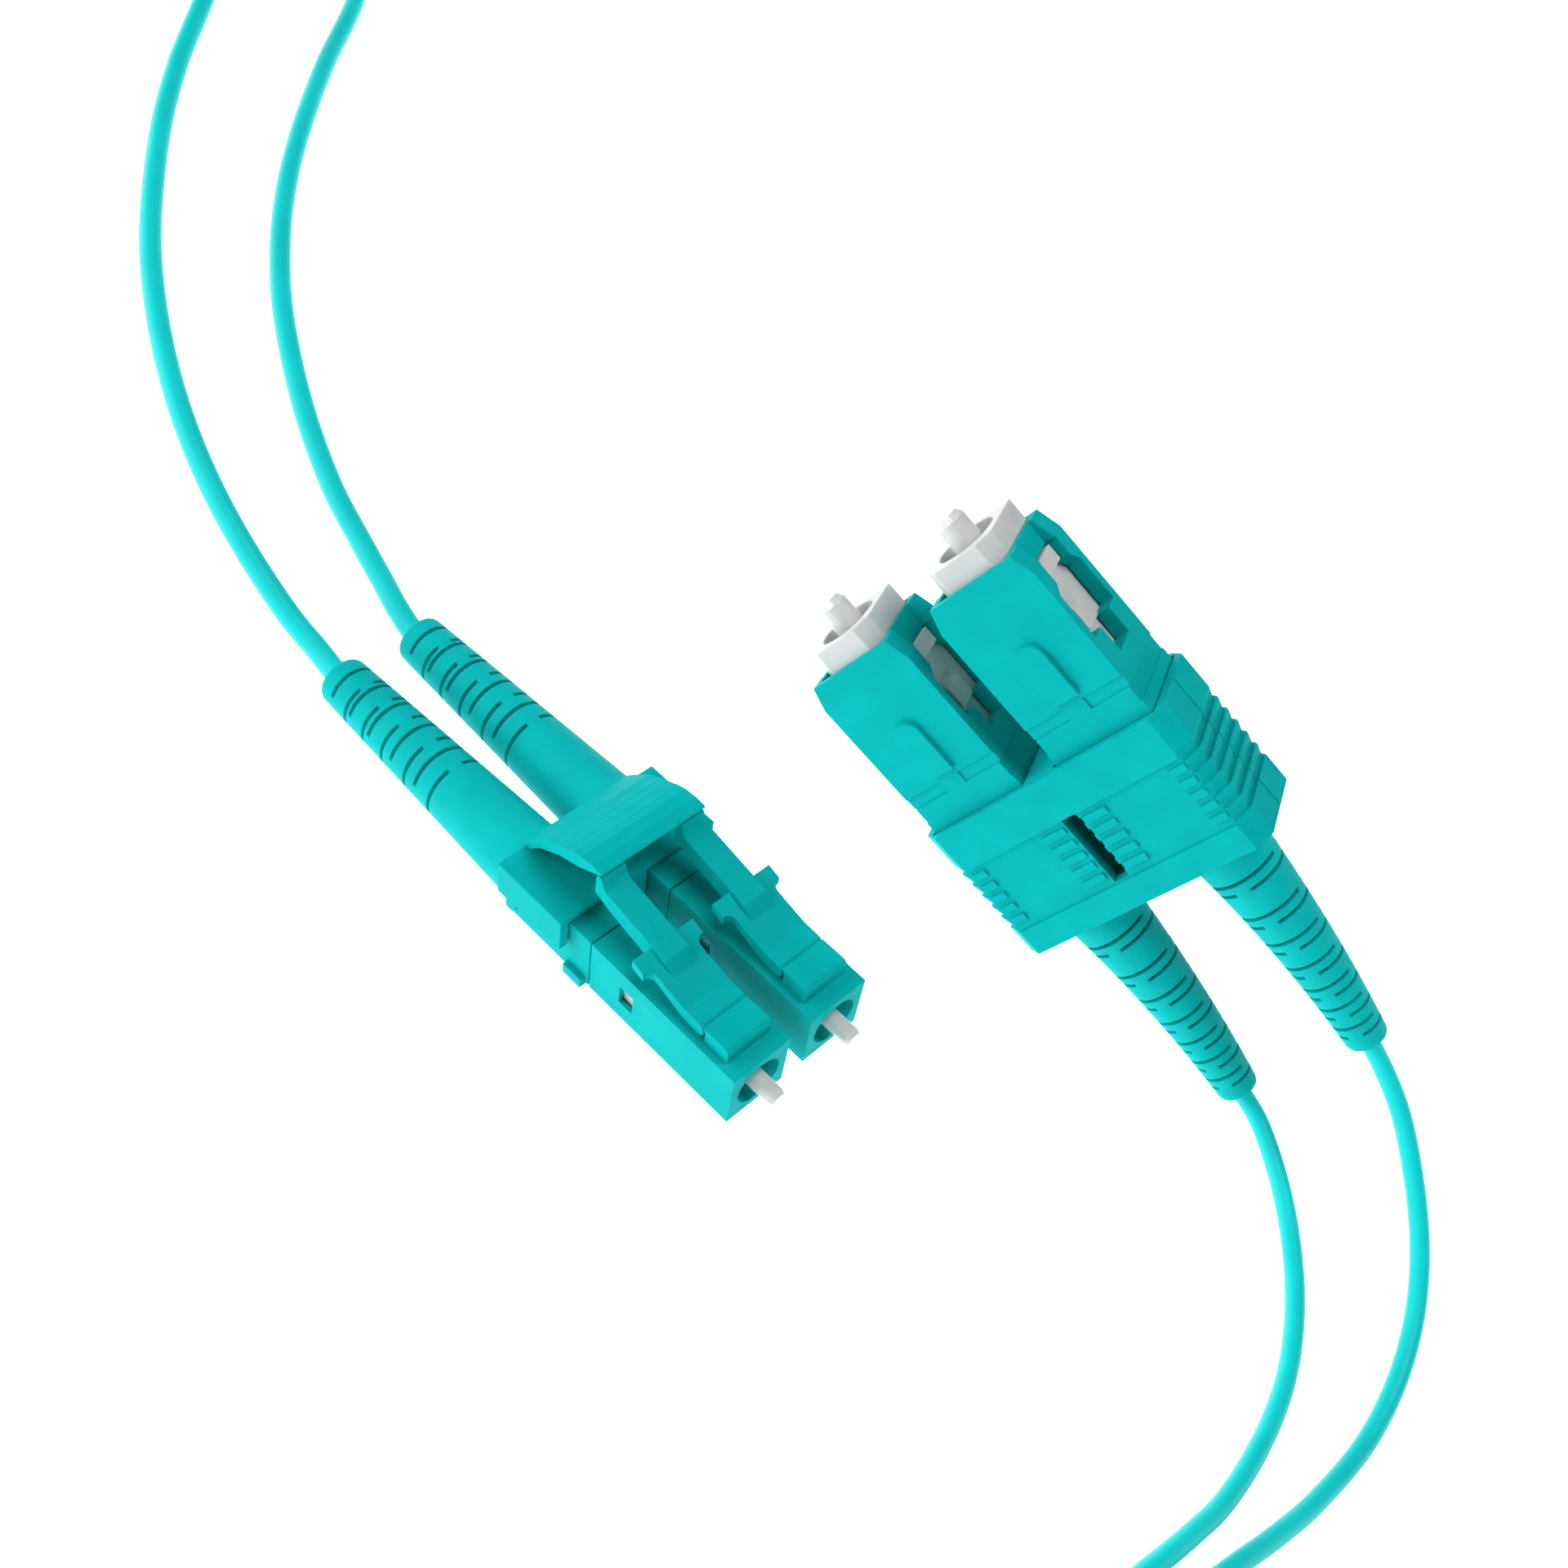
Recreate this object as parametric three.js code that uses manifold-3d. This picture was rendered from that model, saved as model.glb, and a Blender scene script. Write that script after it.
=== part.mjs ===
// A duplex fibre optic patch cord: an LC duplex plug at one end, an SC duplex plug at the other,
// and two round cords between them with their spare length wound into one tied coil.
// Millimetres, +Z up. The origin is on the surface it lies on, below the middle of the two plugs.
// Each plug is drawn in its own frame, x forward out of the nose, y to its left, z up past its
// latch or key, with the origin between its two noses, and then laid down on the surface.

import * as THREE from 'three';
import { mergeVertices } from 'three/addons/utils/BufferGeometryUtils.js';
import Module from 'manifold-3d';

const wasm = await Module();
wasm.setup();

// ---- driving dimensions -------------------------------------------------------------------

const CORD_D = 1.6;               // each cord's outer diameter
const CORD_R = CORD_D / 2;
const GAP = 0.1;                  // between pieces that are pressed or snapped together
const RUN = 0.15;                 // running clearance of pieces that move
const JOIN_GAP = 0.3;             // between a cord's solids and what they meet

const LC_PITCH = 6.25;            // between the two LC ferrules
const SC_PITCH = 12.7;            // between the two SC ferrules
const LC_POSE = { at: [-17.14, -21.17, 16.4], heading: -53.8, noseUp: 20, roll: 19.3 };
const SC_POSE = { at: [-2.3, 20.42, 16.62], heading: 150.6, noseUp: 7.6, roll: -90 };

// LC plug
const LC_W = 4.5;                 // a body's width
const LC_H = 4.4;                 // a body's height
const LC_SEAM = -12.15;           // where the front housing meets the backbone
const LC_BACK = -19.5;            // the backbone's rear
const LC_BORE_R = 1.65;           // the nose bore around the ferrule
const LC_FERRULE_R = 0.625;
const LC_FERRULE_OUT = 1.7;       // how far the ferrule stands out of the nose
const LC_CLIP = { front: -14.04, rear: -19.86, halfW: 6.18, top: 2.86, wall: 0.66, roof: 0.45 };
const LC_BOOT = { front: -20.0, rear: -39.9, frontR: 2.6, rearR: 1.75 };
const LATCH_HALF_W = 1.7;
const LATCH_EAR_HALF_W = 2.33;
const LATCH_ARM_HALF_W = 0.92;
const LATCH_HINGE = { x: -3.7, z: 2.83, r: 0.48 };
const TRIGGER_HALF_W = 4.08;
const TRIGGER_HINGE = { x: -19.5, z: 3.32, r: 0.34 };

// SC plug
const SC_W = 9.2;                 // a sleeve's width
const SC_H = 7.7;                 // a sleeve's height
const SC_REAR = -18.9;            // the sleeve's rear, inside the clip
const SC_TAPER = { x: 2.04, y: 0.62 };
const SC_NOSE = 2.0;              // how far the white frame stands out of the sleeve
const SC_FRAME = { halfW: 3.2, halfH: 3.2, corner: 1.18, rear: -17.0 };
const SC_BORE_R = 2.5;
const SC_FERRULE_R = 1.25;
const SC_FERRULE_OUT = 4.4;
const SC_KEY = { front: -6.1, rear: -11.3, halfW: 1.15, high: 0.45 };
const SC_MARK = { front: -11.85, rear: -12.95, from: 0.95, deep: 0.14 };
const SC_CLIP = { front: -15.44, rear: -28.65, halfW: 11.98, halfH: 4.8, chamfer: 1.28 };
const SC_BAND = { front: -19.3, rear: -26.2, deep: 0.2 };
const SC_RIB_PITCH = 1.23;
const SC_RIBS = 5;
const SC_PAD_LENGTH = 0.62;       // of a raised pad of the clip's grip band
const SC_BOOT = { front: -26.2, rear: -50.7, frontR: 3.38, rearR: 1.8, droop: 1.85 };

// the cords lie on the surface, and one coil holds what isn't laid out
const COIL = { at: [-75, 91.67], inner: 10, outer: 18.8, bottom: 0.7, top: 7.1 };
const TIE_W = 5;                  // the band round the coil, along its turns
const TIE_T = 0.35;

// colours
const AQUA = { color: 0x12adad, roughness: 0.45, metalness: 0 };
const AQUA_BOOT = { color: 0x12b8b8, roughness: 0.6, metalness: 0 };
const AQUA_CORD = { color: 0x0fd8d8, roughness: 0.5, metalness: 0 };
const WHITE = { color: 0xdcdcdc, roughness: 0.5, metalness: 0 };
const CERAMIC = { color: 0xe6e6e6, roughness: 0.25, metalness: 0 };
const STEEL = { color: 0xb8bcc0, roughness: 0.35, metalness: 0.9 };
const TIE = { color: 0x1c1c1e, roughness: 0.7, metalness: 0 };

// ---- solids -------------------------------------------------------------------------------

function solid(geometry) {
  const bare = geometry.clone();
  for (const name of Object.keys(bare.attributes)) {
    if (name !== 'position') {
      bare.deleteAttribute(name);
    }
  }
  const merged = mergeVertices(bare, 1e-5);
  const mesh = new wasm.Mesh({
    numProp: 3,
    vertProperties: new Float32Array(merged.attributes.position.array),
    triVerts: new Uint32Array(merged.index.array),
  });
  return new wasm.Manifold(mesh);
}

// the solid of a closed surface whose faces may all look inwards
function outward(geometry) {
  const found = solid(geometry);
  if (found.volume() > 0) {
    return found;
  }
  const index = geometry.index.array;
  for (let i = 0; i < index.length; i += 3) {
    [index[i + 1], index[i + 2]] = [index[i + 2], index[i + 1]];
  }
  return solid(geometry);
}

function geometryOf(manifold) {
  const mesh = manifold.getMesh();
  const geometry = new THREE.BufferGeometry();
  geometry.setAttribute('position', new THREE.BufferAttribute(new Float32Array(mesh.vertProperties), 3));
  geometry.setIndex(new THREE.BufferAttribute(new Uint32Array(mesh.triVerts), 1));
  geometry.computeVertexNormals();
  return geometry;
}

function box([x0, x1], [y0, y1], [z0, z1]) {
  const geometry = new THREE.BoxGeometry(x1 - x0, y1 - y0, z1 - z0);
  geometry.translate((x0 + x1) / 2, (y0 + y1) / 2, (z0 + z1) / 2);
  return solid(geometry);
}

function extruded(shape, depth) {
  return new THREE.ExtrudeGeometry(shape, { depth, bevelEnabled: false, curveSegments: 8 });
}

function outline(points) {
  return new THREE.Shape(points.map(([u, v]) => new THREE.Vector2(u, v)));
}

// an outline in the (y, z) plane, drawn out along x
function alongX(points, x0, x1) {
  const geometry = extruded(outline(points), x1 - x0);
  geometry.applyMatrix4(new THREE.Matrix4().set(0, 0, 1, x0, 1, 0, 0, 0, 0, 1, 0, 0, 0, 0, 0, 1));
  return solid(geometry);
}

// an outline in the (x, z) plane, drawn out along y
function alongY(points, y0, y1) {
  const swapped = points.map(([x, z]) => [z, x]);
  const geometry = extruded(outline(swapped), y1 - y0);
  geometry.applyMatrix4(new THREE.Matrix4().set(0, 1, 0, 0, 0, 0, 1, y0, 1, 0, 0, 0, 0, 0, 0, 1));
  return solid(geometry);
}

// an outline in the (x, y) plane, drawn out along z
function alongZ(points, z0, z1) {
  const geometry = extruded(outline(points), z1 - z0);
  geometry.translate(0, 0, z0);
  return solid(geometry);
}

// a profile of [x, radius] turned about the x axis; it starts and ends on the axis or closes itself
function turned(profile, segments = 24) {
  const points = profile.map(([x, r]) => new THREE.Vector2(r, x));
  const geometry = new THREE.LatheGeometry(points, segments);
  geometry.applyMatrix4(new THREE.Matrix4().set(0, 1, 0, 0, 0, 0, 1, 0, 1, 0, 0, 0, 0, 0, 0, 1));
  return outward(geometry);
}

function rod(r, x0, x1, segments = 24) {
  return turned([[x0, 0], [x0, r], [x1, r], [x1, 0]], segments);
}

function sleeve(inner, outer, x0, x1, segments = 24) {
  return turned([[x0, inner], [x0, outer], [x1, outer], [x1, inner], [x0, inner]], segments);
}

function arc(cx, cz, r, from, to, steps) {
  return Array.from({ length: steps + 1 }, (_, i) => {
    const angle = THREE.MathUtils.degToRad(from + ((to - from) * i) / steps);
    return [cx + r * Math.cos(angle), cz + r * Math.sin(angle)];
  });
}

function sum(first, ...rest) {
  return rest.reduce((whole, piece) => whole.add(piece), first);
}

function cut(first, ...rest) {
  return rest.reduce((whole, piece) => whole.subtract(piece), first);
}

// the same solid on both sides of the x-z plane
function bothSides(make) {
  return make(1).add(make(-1));
}

function span(side, near, far) {
  return side > 0 ? [near, far] : [-far, -near];
}

function part(name, body, look) {
  const mesh = new THREE.Mesh(geometryOf(body), new THREE.MeshStandardMaterial(look));
  mesh.name = name;
  return mesh;
}

function spring(x0, x1, coilR, wireR, turns) {
  const perTurn = 8;
  const points = Array.from({ length: turns * perTurn + 1 }, (_, i) => {
    const angle = (i / perTurn) * 2 * Math.PI;
    const x = x0 + ((x1 - x0) * i) / (turns * perTurn);
    return new THREE.Vector3(x, coilR * Math.cos(angle), coilR * Math.sin(angle));
  });
  const wire = new THREE.Shape(arc(0, 0, wireR, 0, 300, 5).map(([u, v]) => new THREE.Vector2(u, v)));
  const path = new THREE.CatmullRomCurve3(points);
  const geometry = new THREE.ExtrudeGeometry(wire, { steps: turns * perTurn, extrudePath: path });
  return solid(geometry);
}

// ---- LC plug ------------------------------------------------------------------------------

function lcHousing() {
  const block = box([LC_SEAM, 0], [-LC_W / 2, LC_W / 2], [-LC_H / 2, LC_H / 2]);
  const nose = rod(LC_BORE_R, -7, 1, 28);
  const chamber = box([LC_SEAM - 1, -7.2], [-1.95, 1.95], [-1.72, 1.72]);
  const neck = rod(LC_BORE_R, -7.5, -6.5, 28);
  const window = box([-9.55, -8.4], [-LC_W, LC_W], [-0.76, 0.76]);
  const { x: hingeX, z: hingeZ, r: knuckle } = LATCH_HINGE;
  const rootTop = 3.33;
  const root = alongY([
    [-3.05, LC_H / 2 - 0.2],
    ...arc(hingeX, hingeZ, knuckle + RUN, -15, 50, 6),
    ...arc(-1.55, rootTop - 0.35, 0.35, 90, 0, 4),
    [-1.15, LC_H / 2 - 0.2],
  ], -LATCH_HALF_W, LATCH_HALF_W);
  return cut(block.add(root), nose, neck, chamber, window);
}

function lcLatch() {
  const { x, z, r } = LATCH_HINGE;
  const plate = alongY([
    ...arc(x, z, r, -90, 90, 8),
    [-4.8, 3.36],
    [-6.62, 3.8],
    [-7.65, 4.12],
    [-8.7, 4.5],
    [-8.7, 3.88],
    [-7.65, 3.5],
    [-6.2, 2.98],
    [-5.0, 2.5],
  ], -LATCH_HALF_W, LATCH_HALF_W);
  const earProfile = [[-7.2, 3.98], [-8.7, 4.5], [-8.7, 3.88], [-7.2, 3.34]];
  const ears = alongY(earProfile, -LATCH_EAR_HALF_W, LATCH_EAR_HALF_W);
  const fillet = 0.55;
  const notch = (side) => {
    const centre = side * (LATCH_HALF_W + fillet);
    const profile = arc(-7.2, centre, fillet, 0, 360, 20).slice(0, -1);
    return alongZ(profile, 2.5, 5);
  };
  const trim = (side) => box([-7.2, -6.9], span(side, LATCH_HALF_W, LATCH_EAR_HALF_W + 1), [2.5, 5]);
  const arm = alongY([
    [-6.62, 3.78],
    [-7.47, 4.46],
    [-12.67, 5.56],
    [-12.95, 5.85],
    [-13.1, 6.3],
    ...arc(-13.34, 6.24, 0.22, 20, 170, 5),
    [-13.6, 4.8],
    [-12.2, 4.22],
    [-9.26, 3.44],
    [-8.0, 3.4],
    [-6.9, 3.3],
  ], -LATCH_ARM_HALF_W, LATCH_ARM_HALF_W);
  return sum(cut(plate.add(ears), notch(1), notch(-1), trim(1), trim(-1)), arm);
}

function lcBackbone() {
  const block = box([LC_BACK, LC_SEAM - GAP], [-LC_W / 2, LC_W / 2], [-LC_H / 2, LC_H / 2]);
  const stub = rod(1.5, LC_BACK - 3.6, LC_BACK + 0.5);
  const lugs = bothSides((side) => box([-14.14, -12.5], span(side, 2, 2.67), [-2.4, -1.53]));
  const springWell = rod(1.62, -16.4, LC_SEAM + 1);
  const cordWay = rod(CORD_R + RUN, LC_BACK - 5, -16);
  const hookGroove = (side) => box([-19.25, -18.25], span(side, 1.95, 3), [-1.0, -0.2]);
  return cut(sum(block, stub, lugs), springWell, cordWay, hookGroove(1), hookGroove(-1));
}

function lcFerrule() {
  const chamfer = 0.16;
  return turned([
    [-8.9, 0],
    [-8.9, LC_FERRULE_R],
    [LC_FERRULE_OUT - 0.3, LC_FERRULE_R],
    [LC_FERRULE_OUT, LC_FERRULE_R - chamfer],
    [LC_FERRULE_OUT, 0],
  ], 24);
}

function lcFlange() {
  const collar = box([-9.9, -8.1], [-1.82, 1.82], [-1.4, 1.4]);
  const stem = rod(0.95, -15, -9.5);
  return cut(collar.add(stem), rod(LC_FERRULE_R + GAP, -9.0, 0), rod(0.3, -17, -8.5, 12));
}

function lcCrimp() {
  return sleeve(1.5 + GAP, 2.0, LC_BACK - 3.4, LC_BACK - 0.9);
}

function lcBoot() {
  const { front, rear, frontR, rearR } = LC_BOOT;
  const outer = turned([[rear, 0], [rear, rearR], [front, frontR], [front, 0]], 32);
  const crimpRoom = rod(2.15, LC_BACK - 3.9, front + 1);
  return cut(outer, crimpRoom, rod(CORD_R + RUN, rear - 1, front, 16));
}

function lcClip() {
  const { front, rear, halfW, top, wall, roof } = LC_CLIP;
  const roofPlate = box([rear, front], [-halfW, halfW], [top - roof, top]);
  const wallOutline = [
    [front, top], [front, 0.28], [-18.15, 0.28], [-18.15, -0.1],
    [-18.43, -0.58], [-19.1, -0.58], [-19.1, 0.13], [rear, 0.13], [rear, top],
  ];
  const walls = bothSides((side) => alongY(wallOutline, ...span(side, halfW - wall, halfW)));
  const hooks = bothSides((side) => {
    return box([-19.1, -18.43], span(side, 5.22, halfW - wall + 0.1), [-0.58, -0.35]);
  });
  const rib = box([rear, front], [-0.68, 0.68], [-0.9, top - roof + 0.1]);
  return sum(roofPlate, walls, hooks, rib);
}

function lcTrigger() {
  const { x, z, r } = TRIGGER_HINGE;
  const profile = [
    ...arc(x, z, r, 140, 350, 10),
    [-18.43, 4.04],
    [-16.75, 5.04],
    [-15.15, 5.62],
    [-13.84, 6.32],
    [-13.2, 6.68],
    [-13.1, 6.78],
    [-13.25, 6.86],
    [-14.0, 6.92],
    [-14.89, 6.83],
    [-15.6, 6.56],
    [-15.83, 6.42],
    [-16.4, 6.16],
    [-16.65, 6.0],
    [-17.15, 5.74],
    [-17.41, 5.54],
    [-18.08, 5.17],
    [-18.8, 4.5],
  ];
  return alongY(profile, -TRIGGER_HALF_W, TRIGGER_HALF_W);
}

function lcPlug() {
  const plug = new THREE.Group();
  plug.add(part('lc_clip', lcClip(), AQUA));
  plug.add(part('lc_trigger', lcTrigger(), AQUA));
  for (const [tag, y] of [['a', LC_PITCH / 2], ['b', -LC_PITCH / 2]]) {
    const line = new THREE.Group();
    line.position.y = y;
    line.add(part(`lc_housing_${tag}`, lcHousing(), AQUA));
    line.add(part(`lc_latch_${tag}`, lcLatch(), AQUA));
    line.add(part(`lc_backbone_${tag}`, lcBackbone(), AQUA));
    line.add(part(`lc_ferrule_${tag}`, lcFerrule(), CERAMIC));
    line.add(part(`lc_flange_${tag}`, lcFlange(), WHITE));
    line.add(part(`lc_spring_${tag}`, spring(-15.9, -10.2, 1.26, 0.2, 5), STEEL));
    line.add(part(`lc_crimp_${tag}`, lcCrimp(), STEEL));
    line.add(part(`lc_boot_${tag}`, lcBoot(), AQUA_BOOT));
    plug.add(line);
  }
  return plug;
}

// ---- SC plug ------------------------------------------------------------------------------

function scSleeve() {
  const w = SC_W / 2;
  const h = SC_H / 2;
  const { x: taperX, y: taperY } = SC_TAPER;
  const outer = alongZ([
    [0, -w + taperY], [0, w - taperY], [-taperX, w], [SC_REAR, w], [SC_REAR, -w], [-taperX, -w],
  ], -h, h);
  const innerW = SC_FRAME.halfW + RUN;
  const innerH = SC_FRAME.halfH + RUN;
  const bore = box([SC_REAR - 1, 1], [-innerW, innerW], [-innerH, innerH]);
  const channel = (side) => box([-3, 1], span(side, 3.72, w + 1), [-2.05, 2.05]);
  const windowOutline = [
    [-2.05, -2.2], [-3.9, -2.2], [-4.68, -3.0], [-8.67, -3.0], [-8.67, -1.45], [-11.05, -1.45],
    [-11.05, 1.45], [-8.67, 1.45], [-8.67, 3.0], [-4.68, 3.0], [-3.9, 2.2], [-2.05, 2.2],
  ];
  const window = (side) => alongY(windowOutline, ...span(side, innerW - 0.2, w + 1));
  const { front, rear, halfW, high } = SC_KEY;
  const key = alongZ([
    [rear, -halfW], ...arc(front - halfW, 0, halfW, -90, 90, 10), [rear, halfW],
  ], h - 0.1, h + high);
  const mark = (side) => {
    return box([SC_MARK.rear, SC_MARK.front], span(side, SC_MARK.from, w + 1), [h - SC_MARK.deep, h + 1]);
  };
  const rearSteps = (side) => box([-14.4, -12.9], span(side, w - 0.12, w + 1), [-h - 1, h + 1]);
  return cut(
    outer.add(key), bore, channel(1), channel(-1), window(1), window(-1),
    mark(1), mark(-1), rearSteps(1), rearSteps(-1),
  );
}

function scFrame() {
  const { halfW, halfH, corner, rear } = SC_FRAME;
  const body = alongX([
    [-halfW, -halfH], [halfW, -halfH], [halfW, halfH - corner], [halfW - corner, halfH],
    [-halfW + corner, halfH], [-halfW, halfH - corner],
  ], rear, SC_NOSE);
  const bar = (side) => box([-3.53, -2.15], span(side, halfW - 0.3, 4.1), [-1.62, 1.62]);
  const ramp = (side) => {
    const profile = [[-5.6, halfW - 0.2], [-6.53, 3.7], [-8.6, 3.7], [-8.6, halfW - 0.2]];
    return alongZ(profile.map(([x, y]) => [x, side * y]), -1.24, 1.24);
  };
  const bore = rod(SC_BORE_R, -7, SC_NOSE + 1, 32);
  const chamber = rod(2.75, rear - 1, -6.9, 32);
  return cut(sum(body, bar(1), bar(-1), ramp(1), ramp(-1)), bore, chamber);
}

function scFerrule() {
  return turned([
    [-9.4, 0],
    [-9.4, SC_FERRULE_R],
    [SC_FERRULE_OUT - 0.55, SC_FERRULE_R],
    [SC_FERRULE_OUT, SC_FERRULE_R - 0.42],
    [SC_FERRULE_OUT, 0],
  ], 28);
}

function scFlange() {
  const collar = rod(2.35, -10.4, -8.0, 28);
  const stem = rod(1.55, -18, -10);
  return cut(collar.add(stem), rod(SC_FERRULE_R + GAP, -9.5, 0), rod(0.45, -20, -9, 12));
}

function scStopRing() {
  const barrel = rod(2.65, -20.5, SC_FRAME.rear + 1.5, 28);
  const collar = rod(3.1, -20.5, SC_FRAME.rear - GAP, 28);
  const stub = rod(1.9, -26, -20);
  const well = rod(2.25, -19.6, -14);
  return cut(sum(barrel, collar, stub), well, rod(CORD_R + RUN, -27, -19, 16));
}

function scCrimp() {
  return sleeve(1.9 + GAP, 2.4, -25.8, -21.6);
}

// how far the boot's centre line has sagged towards the plug's left side at x
function scBootSag(x) {
  const along = Math.max(0, (SC_CLIP.rear - x) / (SC_CLIP.rear - SC_BOOT.rear));
  return SC_BOOT.droop * along ** 2;
}

function scBoot() {
  const { front, rear, frontR, rearR } = SC_BOOT;
  const stations = 10;
  const sides = 24;
  const bodyRear = SC_CLIP.rear;
  const radiusAt = (x) => {
    const along = Math.max(0, (bodyRear - x) / (bodyRear - rear));
    return frontR + (rearR - frontR) * along ** 0.85;
  };
  const loft = (inner, x0, x1, count) => {
    const base = [];
    const tris = [];
    for (let i = 0; i <= count; i++) {
      const x = x0 + ((x1 - x0) * i) / count;
      const r = inner ?? radiusAt(x);
      for (let k = 0; k < sides; k++) {
        const angle = (2 * Math.PI * k) / sides;
        base.push(x, scBootSag(x) + r * Math.cos(angle), r * Math.sin(angle));
      }
    }
    for (let i = 0; i < count; i++) {
      for (let k = 0; k < sides; k++) {
        const a = i * sides + k;
        const b = i * sides + ((k + 1) % sides);
        tris.push(a, b, b + sides, a, b + sides, a + sides);
      }
    }
    const last = count * sides;
    for (let k = 1; k < sides - 1; k++) {
      tris.push(0, k + 1, k);
      tris.push(last, last + k, last + k + 1);
    }
    const geometry = new THREE.BufferGeometry();
    geometry.setAttribute('position', new THREE.BufferAttribute(new Float32Array(base), 3));
    geometry.setIndex(tris);
    return solid(geometry);
  };
  const cordWay = loft(CORD_R + RUN, rear - 1, front + 1, stations);
  return cut(loft(null, rear, front, stations), cordWay);
}

function scClipHalf(side) {
  const { front, rear, halfW, halfH, chamfer } = SC_CLIP;
  const seam = GAP / 2;
  const section = [
    [-halfW, seam], [halfW, seam], [halfW, halfH - chamfer], [halfW - chamfer, halfH],
    [-halfW + chamfer, halfH], [-halfW, halfH - chamfer],
  ];
  const shell = alongX(section, rear, front);
  const band = box([SC_BAND.rear, SC_BAND.front], [-halfW, halfW], [halfH - SC_BAND.deep, halfH + 1]);
  const slotHalfW = 0.7;
  const slotFloor = 2;
  const slot = box([-26.0, -19.26], [-slotHalfW, slotHalfW], [slotFloor, halfH + 1]);
  const cavity = box([-26.9, -18.3], [-1.95, 1.95], [0.5, halfH - 1.1]);
  const pockets = bothSides((hand) => {
    const y = (hand * SC_PITCH) / 2;
    const pocketHalfW = SC_W / 2 + 0.25;
    const pocketZ = [-1, SC_H / 2 + 0.3];
    const pocket = box([SC_REAR - 0.4, front + 1], [y - pocketHalfW, y + pocketHalfW], pocketZ);
    const chamber = rod(3.5, rear + 2.6, SC_REAR, 28).translate([0, y, 0]);
    const exit = rod(SC_BOOT.frontR + RUN, rear - 1, rear + 3, 32).translate([0, y, 0]);
    return sum(pocket, chamber, exit);
  });
  // each groove runs up the side and over the slanted corner, where it is shallower
  const groove = (x, out, deep, t0, t1) => {
    const ramp = x + SC_RIB_PITCH - 0.25;
    return alongZ([[x, out + 1], [x, out - deep], [ramp, out], [ramp, out + 1]], t0, t1);
  };
  const cornerOut = (halfW + halfH - chamfer) / Math.SQRT2;
  const cornerMiddle = (halfH - halfW) / Math.SQRT2;
  const grooves = [];
  for (let i = 0; i <= SC_RIBS; i++) {
    const x = SC_BAND.front - 0.5 - i * SC_RIB_PITCH;
    const onSide = groove(x, halfW, 0.36, -1, halfH + 1);
    const overCorner = groove(x, cornerOut, 0.22, cornerMiddle - 2, cornerMiddle + 2).rotate([45, 0, 0]);
    const both = onSide.add(overCorner);
    grooves.push(both, both.mirror([0, 1, 0]));
  }
  const notches = [];
  const pads = [];
  for (let i = 0; i < SC_RIBS; i++) {
    const padFront = SC_BAND.front - 0.55 - i * SC_RIB_PITCH;
    const along = [padFront - SC_PAD_LENGTH, padFront];
    notches.push(box(along, [-slotHalfW - 0.14, 0], [slotFloor, halfH + 1]));
    for (const [near, far] of [[0.95, 3.15], [9.2, halfW - chamfer - 0.05]]) {
      for (const hand of [1, -1]) {
        pads.push(box(along, span(hand, near, far), [halfH - 0.3, halfH]));
      }
    }
  }
  const half = cut(sum(cut(shell, band), ...pads), slot, cavity, pockets, ...notches, ...grooves);
  return side > 0 ? half : half.rotate([180, 0, 0]);
}

function scPlug() {
  const plug = new THREE.Group();
  plug.add(part('sc_clip_upper', scClipHalf(1), AQUA));
  plug.add(part('sc_clip_lower', scClipHalf(-1), AQUA));
  for (const [tag, y] of [['a', SC_PITCH / 2], ['b', -SC_PITCH / 2]]) {
    const line = new THREE.Group();
    line.position.y = y;
    line.add(part(`sc_sleeve_${tag}`, scSleeve(), AQUA));
    line.add(part(`sc_frame_${tag}`, scFrame(), WHITE));
    line.add(part(`sc_ferrule_${tag}`, scFerrule(), CERAMIC));
    line.add(part(`sc_flange_${tag}`, scFlange(), STEEL));
    line.add(part(`sc_spring_${tag}`, spring(-19.3, -10.9, 1.9, 0.24, 6), STEEL));
    line.add(part(`sc_stop_ring_${tag}`, scStopRing(), STEEL));
    line.add(part(`sc_crimp_${tag}`, scCrimp(), STEEL));
    line.add(part(`sc_boot_${tag}`, scBoot(), AQUA_BOOT));
    plug.add(line);
  }
  return plug;
}

// ---- cords --------------------------------------------------------------------------------

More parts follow.
